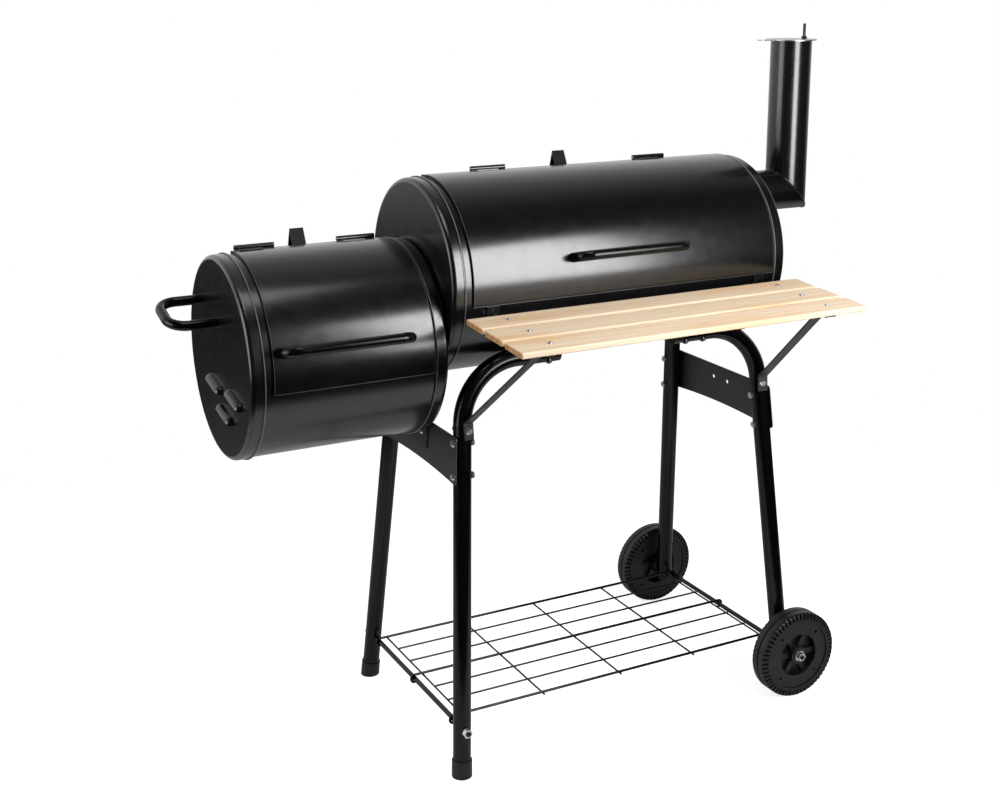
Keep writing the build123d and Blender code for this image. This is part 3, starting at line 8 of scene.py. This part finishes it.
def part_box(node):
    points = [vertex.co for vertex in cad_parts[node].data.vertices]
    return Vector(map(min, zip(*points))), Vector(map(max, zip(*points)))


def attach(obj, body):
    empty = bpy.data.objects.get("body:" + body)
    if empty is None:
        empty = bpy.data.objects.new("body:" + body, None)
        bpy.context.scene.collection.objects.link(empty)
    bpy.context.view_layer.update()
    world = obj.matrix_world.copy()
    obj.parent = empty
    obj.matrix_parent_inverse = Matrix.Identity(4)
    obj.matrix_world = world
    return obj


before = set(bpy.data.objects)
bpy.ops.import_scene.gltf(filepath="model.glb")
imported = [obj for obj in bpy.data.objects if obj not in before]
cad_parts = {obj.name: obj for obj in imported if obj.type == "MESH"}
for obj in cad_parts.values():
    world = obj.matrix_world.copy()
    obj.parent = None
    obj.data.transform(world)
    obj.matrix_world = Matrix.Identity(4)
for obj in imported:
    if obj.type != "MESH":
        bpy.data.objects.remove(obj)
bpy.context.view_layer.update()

# Camera fitted to the photograph, metres and degrees; focal length and shift in picture widths
CAMERA_AT = Vector((-1.05392, -1.92102, 1.20823))
CAMERA_YAW = 28.060
CAMERA_PITCH = 13.315
CAMERA_ROLL = 0.036
FOCAL_LENGTH = 1.43182
AXIS_SHIFT = (-0.01964, -0.0930)
SENSOR = 36.0

# Lamps: place, point that they face, width and height in metres, radiance
LAMPS = {
    "key_box": ((0.44, -1.10, 1.08), (-0.15, -0.05, 0.92), (0.55, 0.88), 12.4),
    "left_box": ((-2.10, 0.10, 0.95), (0.5, 0.05, 0.99), (1.20, 1.30), 3.1),
    "top_box": ((-0.30, -0.60, 3.00), (0.0, -0.1, 0.0), (1.20, 1.20), 3.0),
}

# Surroundings by the ray's direction: where a fade starts and ends, and the level at each
BACKDROP_FADE = (-0.25, 0.55), (0.06, 1.0)
HORIZON_FADE = (-0.185, -0.085), (0.02, 1.0)
CEILING_FADE = (0.35, 0.85), (1.0, 0.45)
FAR_FLOOR_FADE = (-0.44, -0.24), (0.2, 0.0)
DIFFUSE_SHARE = 0.95

# Paper under the smoker
PAPER_TONE = 0.80
PAPER_ROUGHNESS = 0.9
PAPER_GLOW = 0.75
PAPER_FADE = (0.78, 0.96), (1.0, 0.0)
PAPER_MIDDLE = (0.0, 0.40, 0.0)
PAPER_REACH = (1.6, 1.20, 1.0)

# Rolled rims, turned lid edges and the chimney's weld, in metres
RIM_INSET = 0.0005
RIM_SINK = 0.0002
RIM_RADIUS = 0.0009
RIM_STEPS = 160
HEM_SINK = 0.0003
HEM_RADIUS = 0.0006
HEM_STEPS = 60
WELD_RADIUS = 0.0010
WELD_STEPS = 96
FLUE_RADIUS = 0.035
FLANGE_RADIUS = 0.050
BEAD_SIDES = 8

ALONG = Vector((1.0, 0.0, 0.0))
FULL_TURN = 2.0 * math.pi
WHITE = (1.0, 1.0, 1.0)

# Middle range that a noise texture covers
NOISE_LOW = 0.3
NOISE_HIGH = 0.7

# Slot of every imported node; sheet pieces in the drums' shade get a darker finish as painted shade
SLOTS = {name: thing.data.materials[0].name for name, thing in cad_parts.items()}
PAINTED_SHADE_PIECES = dict.fromkeys(("barrel_lid_stop", "firebox_lid_stop", "left_table_arm", "right_table_arm",
                        "firebox_bracket", "damper_bolt"), "dark_sheet")


def make_node(tree, kind, inputs=None, **settings):
    """Add a shader node; inputs may be values or output sockets."""
    made = tree.nodes.new("ShaderNode" + kind)
    for name, value in settings.items():
        setattr(made, name, value)
    for name, value in (inputs or {}).items():
        if isinstance(value, bpy.types.NodeSocket):
            tree.links.new(value, made.inputs[name])
        else:
            made.inputs[name].default_value = value
    return made


def make_ramp(tree, factor, *stops):
    """Colour ramp through (position, colour) stops."""
    ramp = make_node(tree, "ValToRGB", {"Fac": factor})
    elements = ramp.color_ramp.elements
    while len(elements) < len(stops):
        elements.new(1.0)
    for element, (position, colour) in zip(elements, stops):
        element.position = position
        element.color = (*colour, 1.0)
    return ramp.outputs["Color"]


def make_noise(tree, place, scale, detail=2.0, rough=0.5):
    """Noise texture at a number of features per metre."""
    noise = make_node(tree, "TexNoise", {"Vector": place, "Scale": scale, "Detail": detail,
                                         "Roughness": rough})
    return noise.outputs["Fac"]


def make_bump(tree, height, strength, distance):
    """Normal of a surface raised by a height field."""
    bump = make_node(tree, "Bump", {"Height": height, "Strength": strength, "Distance": distance})
    return bump.outputs["Normal"]


def stretch(tree, place, scale, shift=(0.0, 0.0, 0.0)):
    """Coordinates scaled by axis; a pattern runs long where the scale is small."""
    mapping = make_node(tree, "Mapping", {"Vector": place, "Location": shift, "Scale": scale})
    return mapping.outputs["Vector"]


def spread(tree, value, low, high, start=NOISE_LOW, end=NOISE_HIGH):
    """Map a value's range onto low..high."""
    mapped = make_node(tree, "MapRange", {"Value": value, "From Min": start, "From Max": end,
                                          "To Min": low, "To Max": high})
    return mapped.outputs["Result"]


def fade(tree, value, reach, levels):
    """Smooth passage between two levels while a value crosses its reach."""
    mapped = make_node(tree, "MapRange", {"Value": value, "From Min": reach[0], "From Max": reach[1],
                                          "To Min": levels[0], "To Max": levels[1]},
                       interpolation_type="SMOOTHSTEP")
    return mapped.outputs["Result"]


def calculate(tree, operation, *values):
    """Result of a Math node on numbers or sockets."""
    return make_node(tree, "Math", dict(enumerate(values)), operation=operation).outputs["Value"]


def mix(tree, factor, first, second, blend="MIX"):
    """Mix two colours."""
    mixed = make_node(tree, "MixRGB", {"Fac": factor, "Color1": first, "Color2": second}, blend_type=blend)
    return mixed.outputs["Color"]


def start_material(name, level=0.5):
    """New material: its tree, its shader with a specular level, and object coordinates."""
    material = bpy.data.materials.new(name)
    material.use_nodes = True
    tree = material.node_tree
    shader = tree.nodes["Principled BSDF"]
    shader.inputs["Specular IOR Level"].default_value = level
    place = make_node(tree, "TexCoord").outputs["Object"]
    return material, tree, shader, place


def wire(tree, shader, **sockets):
    """Link outputs to the shader's sockets, named with _ for a space."""
    for name, value in sockets.items():
        tree.links.new(value, shader.inputs[name.replace("_", " ")])


def painted(name, dark, light, roughness, peel, grain=1100.0, level=0.5):
    """Sprayed coat: slight mottling, uneven gloss and fine orange peel."""
    material, tree, shader, place = start_material(name, level)
    mottle = make_noise(tree, place, 26.0, 4.0)
    gloss = make_noise(tree, place, 60.0, 3.0)
    skin = make_noise(tree, place, grain)
    wire(tree, shader,
         Base_Color=make_ramp(tree, mottle, (NOISE_LOW, dark), (NOISE_HIGH, light)),
         Roughness=spread(tree, gloss, roughness - 0.02, roughness + 0.02),
         Normal=make_bump(tree, skin, peel, 0.0003))
    return material


def plated(name, dark, light, roughness):
    """Bare or plated metal with soft blotches and fine scratches."""
    material, tree, shader, place = start_material(name)
    shader.inputs["Metallic"].default_value = 1.0
    blotch = make_noise(tree, place, 90.0, 4.0)
    scratch = make_noise(tree, stretch(tree, place, (1.0, 14.0, 14.0)), 260.0, 3.0)
    wire(tree, shader,
         Base_Color=make_ramp(tree, blotch, (NOISE_LOW, dark), (NOISE_HIGH, light)),
         Roughness=spread(tree, scratch, roughness - 0.06, roughness + 0.06),
         Normal=make_bump(tree, scratch, 0.05, 0.0002))
    return material


def moulded(name, dark, light, roughness):
    """Moulded plastic with a fine spark-eroded grain."""
    material, tree, shader, place = start_material(name, level=0.4)
    cloud = make_noise(tree, place, 40.0, 3.0)
    grain = make_noise(tree, place, 1600.0)
    wire(tree, shader,
         Base_Color=make_ramp(tree, cloud, (NOISE_LOW, dark), (NOISE_HIGH, light)),
         Roughness=spread(tree, grain, roughness - 0.06, roughness + 0.06),
         Normal=make_bump(tree, grain, 0.22, 0.0003))
    return material


def pine(name):
    """Planed softwood along X: growth rings, orange streaks, fibres and darker end grain."""
    material, tree, shader, place = start_material(name, level=0.22)
    rings = make_node(tree, "TexWave", {"Vector": stretch(tree, place, (0.05, 1.0, 1.0)), "Scale": 20.0,
                                        "Distortion": 6.0, "Detail": 2.0, "Detail Scale": 1.4,
                                        "Detail Roughness": 0.6},
                      wave_type="BANDS", bands_direction="Y", wave_profile="SAW").outputs["Fac"]
    streak = make_noise(tree, stretch(tree, place, (0.13, 1.0, 1.0), (0.7, 0.12, 0.0)), 24.0, 3.0, 0.55)
    fibre = make_noise(tree, stretch(tree, place, (0.02, 1.0, 1.0)), 900.0, 3.0)

    ring_colour = make_ramp(tree, rings, (0.0, (0.86, 0.68, 0.50)), (0.55, (0.88, 0.71, 0.53)),
                            (0.9, (0.82, 0.61, 0.40)), (1.0, (0.86, 0.67, 0.49)))
    streak_mask = spread(tree, streak, 0.0, 0.85, 0.52, 0.70)
    warm = mix(tree, streak_mask, ring_colour, (0.80, 0.53, 0.28, 1.0))
    fibre_tint = make_ramp(tree, fibre, (0.25, (0.90, 0.88, 0.86)), (0.6, WHITE))
    planed = mix(tree, 1.0, warm, fibre_tint, "MULTIPLY")

    facing = make_node(tree, "SeparateXYZ", {"Vector": make_node(tree, "NewGeometry").outputs["Normal"]})
    end_mask = spread(tree, calculate(tree, "ABSOLUTE", facing.outputs["X"]), 0.0, 1.0, 0.5, 0.95)
    end_colour = make_ramp(tree, rings, (0.0, (0.66, 0.37, 0.16)), (0.7, (0.58, 0.30, 0.12)),
                           (1.0, (0.42, 0.20, 0.08)))
    wire(tree, shader,
         Base_Color=mix(tree, end_mask, planed, end_colour),
         Roughness=spread(tree, fibre, 0.52, 0.68),
         Normal=make_bump(tree, fibre, 0.25, 0.0002))
    return material


def make_materials():
    """Every finish: its darkest and lightest colour, roughness, and a coat's orange peel."""
    finishes = (
        painted("black_paint", (0.0022, 0.0022, 0.0024), (0.0036, 0.0036, 0.0038), 0.22, 0.04, level=0.74),
        painted("black_tube", (0.0012, 0.0012, 0.0013), (0.0022, 0.0022, 0.0023), 0.18, 0.03, level=0.30),
        painted("grey_sheet", (0.013, 0.013, 0.0135), (0.018, 0.018, 0.0185), 0.42, 0.12),
        # Darker copy of grey_sheet: painted shade for the sheet pieces that lie in the drums' shade
        painted("dark_sheet", (0.004, 0.004, 0.0042), (0.007, 0.007, 0.0072), 0.36, 0.10),
        # Light grey for the rolled cap rims: a painted highlight along the rims
        painted("rim_highlight", (0.10, 0.10, 0.105), (0.17, 0.17, 0.175), 0.34, 0.05),
        # Mid grey for the lids' turned edges: a painted highlight along the hems
        painted("lid_edge", (0.03, 0.03, 0.031), (0.06, 0.06, 0.062), 0.30, 0.05),
        plated("grid_wire", (0.46, 0.46, 0.47), (0.58, 0.58, 0.59), 0.30),
        painted("grate_steel", (0.02, 0.02, 0.021), (0.035, 0.034, 0.033), 0.55, 0.2, grain=500.0),
        plated("damper_steel", (0.42, 0.41, 0.42), (0.52, 0.51, 0.52), 0.36),
        plated("zinc", (0.58, 0.58, 0.59), (0.68, 0.68, 0.68), 0.30),
        pine("board_wood"),
        moulded("black_plastic", (0.004, 0.004, 0.0042), (0.007, 0.007, 0.0074), 0.45),
        moulded("tyre_plastic", (0.004, 0.004, 0.0042), (0.007, 0.007, 0.0074), 0.50),
    )
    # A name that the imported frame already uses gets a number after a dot
    return {finish.name.split(".")[0]: finish for finish in finishes}


def dress_nodes(materials):
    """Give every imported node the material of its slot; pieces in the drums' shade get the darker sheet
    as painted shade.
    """
    for name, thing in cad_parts.items():
        thing.data.materials.clear()
        thing.data.materials.append(materials[PAINTED_SHADE_PIECES.get(name, SLOTS[name])])


def place_camera():
    """Camera where the photograph was taken from."""
    data = bpy.data.cameras.new("camera")
    data.sensor_fit = "HORIZONTAL"
    data.sensor_width = SENSOR
    data.lens = FOCAL_LENGTH * SENSOR
    data.shift_x, data.shift_y = AXIS_SHIFT
    camera = bpy.data.objects.new("camera", data)
    turn = (Matrix.Rotation(-math.radians(CAMERA_YAW), 4, "Z")
            @ Matrix.Rotation(math.radians(90.0 - CAMERA_PITCH), 4, "X")
            @ Matrix.Rotation(math.radians(CAMERA_ROLL), 4, "Z"))
    camera.matrix_world = Matrix.Translation(CAMERA_AT) @ turn
    bpy.context.scene.collection.objects.link(camera)
    bpy.context.scene.camera = camera


def soft_box(name, at, towards, size, radiance):
    """Rectangular lamp of a given radiance, facing a point."""
    data = bpy.data.lights.new(name, "AREA")
    data.shape = "RECTANGLE"
    data.size, data.size_y = size
    data.energy = radiance * math.pi * size[0] * size[1]
    lamp = bpy.data.objects.new(name, data)
    aim = (Vector(towards) - Vector(at)).to_track_quat("-Z", "Y")
    lamp.matrix_world = Matrix.Translation(at) @ aim.to_matrix().to_4x4()
    lamp.visible_camera = False
    bpy.context.scene.collection.objects.link(lamp)


def light_studio():
    """Tall soft box close at the right front, a broad one on the left and a fill above."""
    for name, settings in LAMPS.items():
        soft_box(name, *settings)


def white_world():
    """White to the camera; for other rays a bright backdrop and floor behind, which fade to the front."""
    world = bpy.data.worlds.new("studio")
    world.use_nodes = True
    tree = world.node_tree
    sky = tree.nodes["Background"]
    direction = make_node(tree, "TexCoord").outputs["Generated"]
    part = make_node(tree, "SeparateXYZ", {"Vector": direction}).outputs
    horizon = fade(tree, part["Z"], *HORIZON_FADE)
    wall = calculate(tree, "MULTIPLY", horizon, fade(tree, part["Z"], *CEILING_FADE))
    height = calculate(tree, "ADD", wall, fade(tree, part["Z"], *FAR_FLOOR_FADE))
    shade = calculate(tree, "MULTIPLY", fade(tree, part["Y"], *BACKDROP_FADE), height)
    path = make_node(tree, "LightPath").outputs
    mirrored = calculate(tree, "MULTIPLY", path["Is Glossy Ray"], shade)
    through = calculate(tree, "MAXIMUM", path["Is Camera Ray"], path["Is Transmission Ray"])
    seen = calculate(tree, "MAXIMUM", mirrored, through)
    dimmed = calculate(tree, "MULTIPLY", shade, DIFFUSE_SHARE)
    tree.links.new(calculate(tree, "MAXIMUM", seen, dimmed), sky.inputs["Strength"])
    sky.inputs["Color"].default_value = (*WHITE, 1.0)
    bpy.context.scene.world = world


def paper_floor():
    """White sheet under the smoker that fades out towards its rim."""
    material, tree, shader, place = start_material("paper", level=0.0)
    shader.inputs["Base Color"].default_value = (PAPER_TONE, PAPER_TONE, PAPER_TONE, 1.0)
    shader.inputs["Roughness"].default_value = PAPER_ROUGHNESS
    shader.inputs["Emission Color"].default_value = (*WHITE, 1.0)
    path = make_node(tree, "LightPath").outputs
    distance = make_node(tree, "VectorMath", {0: place}, operation="LENGTH").outputs["Value"]
    wire(tree, shader,
         Alpha=fade(tree, distance, *PAPER_FADE),
         Emission_Strength=calculate(tree, "MULTIPLY", path["Is Camera Ray"], PAPER_GLOW))
    sheet = bpy.data.meshes.new("paper")
    sheet.from_pydata([(-1, -1, 0), (1, -1, 0), (1, 1, 0), (-1, 1, 0)], [], [(0, 1, 2, 3)])
    sheet.materials.append(material)
    floor = bpy.data.objects.new("paper", sheet)
    floor.location = PAPER_MIDDLE
    floor.scale = PAPER_REACH
    bpy.context.scene.collection.objects.link(floor)


def sweep_tubes(name, paths, radius, body, material):
    """Thin round beads along paths of points, each path with a direction across it."""
    corners = []
    faces = []
    for points, across, closed in paths:
        count = len(points)
        first = len(corners)
        for index, point in enumerate(points):
            before = points[index - 1] if closed or index else point
            after = points[(index + 1) % count] if closed or index + 1 < count else point
            other = (after - before).normalized().cross(across)
            for side in range(BEAD_SIDES):
                turn = FULL_TURN * side / BEAD_SIDES
                corners.append(point + (across * math.cos(turn) + other * math.sin(turn)) * radius)
        for index in range(count if closed else count - 1):
            here = first + index * BEAD_SIDES
            there = first + (index + 1) % count * BEAD_SIDES
            for side in range(BEAD_SIDES):
                beside = (side + 1) % BEAD_SIDES
                faces.append((here + side, here + beside, there + beside, there + side))
    mesh = bpy.data.meshes.new(name)
    mesh.from_pydata(corners, [], faces)
    mesh.shade_smooth()
    mesh.materials.append(material)
    bead = bpy.data.objects.new(name, mesh)
    bpy.context.scene.collection.objects.link(bead)
    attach(bead, body)


def arc_points(x, centre, radius, start, end, steps):
    """Points round a drum's axis at x, one more than the steps; angles from the back, rising."""
    points = []
    for step in range(steps + 1):
        turn = start + (end - start) * step / steps
        points.append(Vector((x, centre.y + radius * math.cos(turn), centre.z + radius * math.sin(turn))))
    return points


def box_middle(node):
    """Middle of a node's box."""
    low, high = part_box(node)
    return (low + high) / 2.0


def cap_beads(drum, material):
    """Rolled rims at the open edges of a drum's two caps."""
    rims = []
    for side in ("left", "right"):
        cap = f"{drum}_{side}_cap"
        low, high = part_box(cap)
        edge = high.x - RIM_INSET if side == "left" else low.x + RIM_INSET
        radius = (high.z - low.z) / 2.0 - RIM_SINK
        ring = arc_points(edge, box_middle(cap), radius, 0.0, FULL_TURN, RIM_STEPS)
        rims.append((ring[:-1], ALONG, True))
    sweep_tubes(f"{drum}_cap_beads", rims, RIM_RADIUS, "frame", material)


def lid_beads(drum, material):
    """Turned edges round a drum's lid."""
    centre = box_middle(f"{drum}_right_cap")
    spots = [vertex.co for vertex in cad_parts[f"{drum}_lid"].data.vertices]
    turns = [math.atan2(spot.z - centre.z, spot.y - centre.y) % FULL_TURN for spot in spots]
    reach = max(math.hypot(spot.y - centre.y, spot.z - centre.z) for spot in spots) - HEM_SINK
    left = min(spot.x for spot in spots)
    right = max(spot.x for spot in spots)
    rear = min(turns)
    front = max(turns)
    hems = [(arc_points(x, centre, reach, rear, front, HEM_STEPS), ALONG, False)
            for x in (left + HEM_SINK, right - HEM_SINK)]
    for turn in (rear, front):
        out = Vector((0.0, math.cos(turn), math.sin(turn)))
        start = Vector((left, centre.y, centre.z)) + out * reach
        hems.append(([start, start + ALONG * (right - left)], out, False))
    sweep_tubes(f"{drum}_lid_beads", hems, HEM_RADIUS, f"{drum}_lid", material)


def chimney_weld(material):
    """Weld round the chimney's mitre."""
    low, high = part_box("chimney")
    middle = Vector((high.x - FLUE_RADIUS, (low.y + high.y) / 2.0, low.z + FLANGE_RADIUS))
    mitre = []
    for step in range(WELD_STEPS):
        turn = FULL_TURN * step / WELD_STEPS
        bow = FLUE_RADIUS * math.cos(turn)
        mitre.append(middle + Vector((bow, FLUE_RADIUS * math.sin(turn), -bow)))
    slant = Vector((1.0, 0.0, 1.0)).normalized()
    sweep_tubes("chimney_weld", [(mitre, slant, True)], WELD_RADIUS, "frame", material)


bpy.context.scene.view_settings.view_transform = "Standard"
place_camera()
white_world()
light_studio()
paper_floor()
materials = make_materials()
dress_nodes(materials)
# Rim and hem beads in lighter greys than the paint: painted highlights along these edges
for drum in ("barrel", "firebox"):
    cap_beads(drum, materials["rim_highlight"])
    lid_beads(drum, materials["lid_edge"])
chimney_weld(materials["black_paint"])
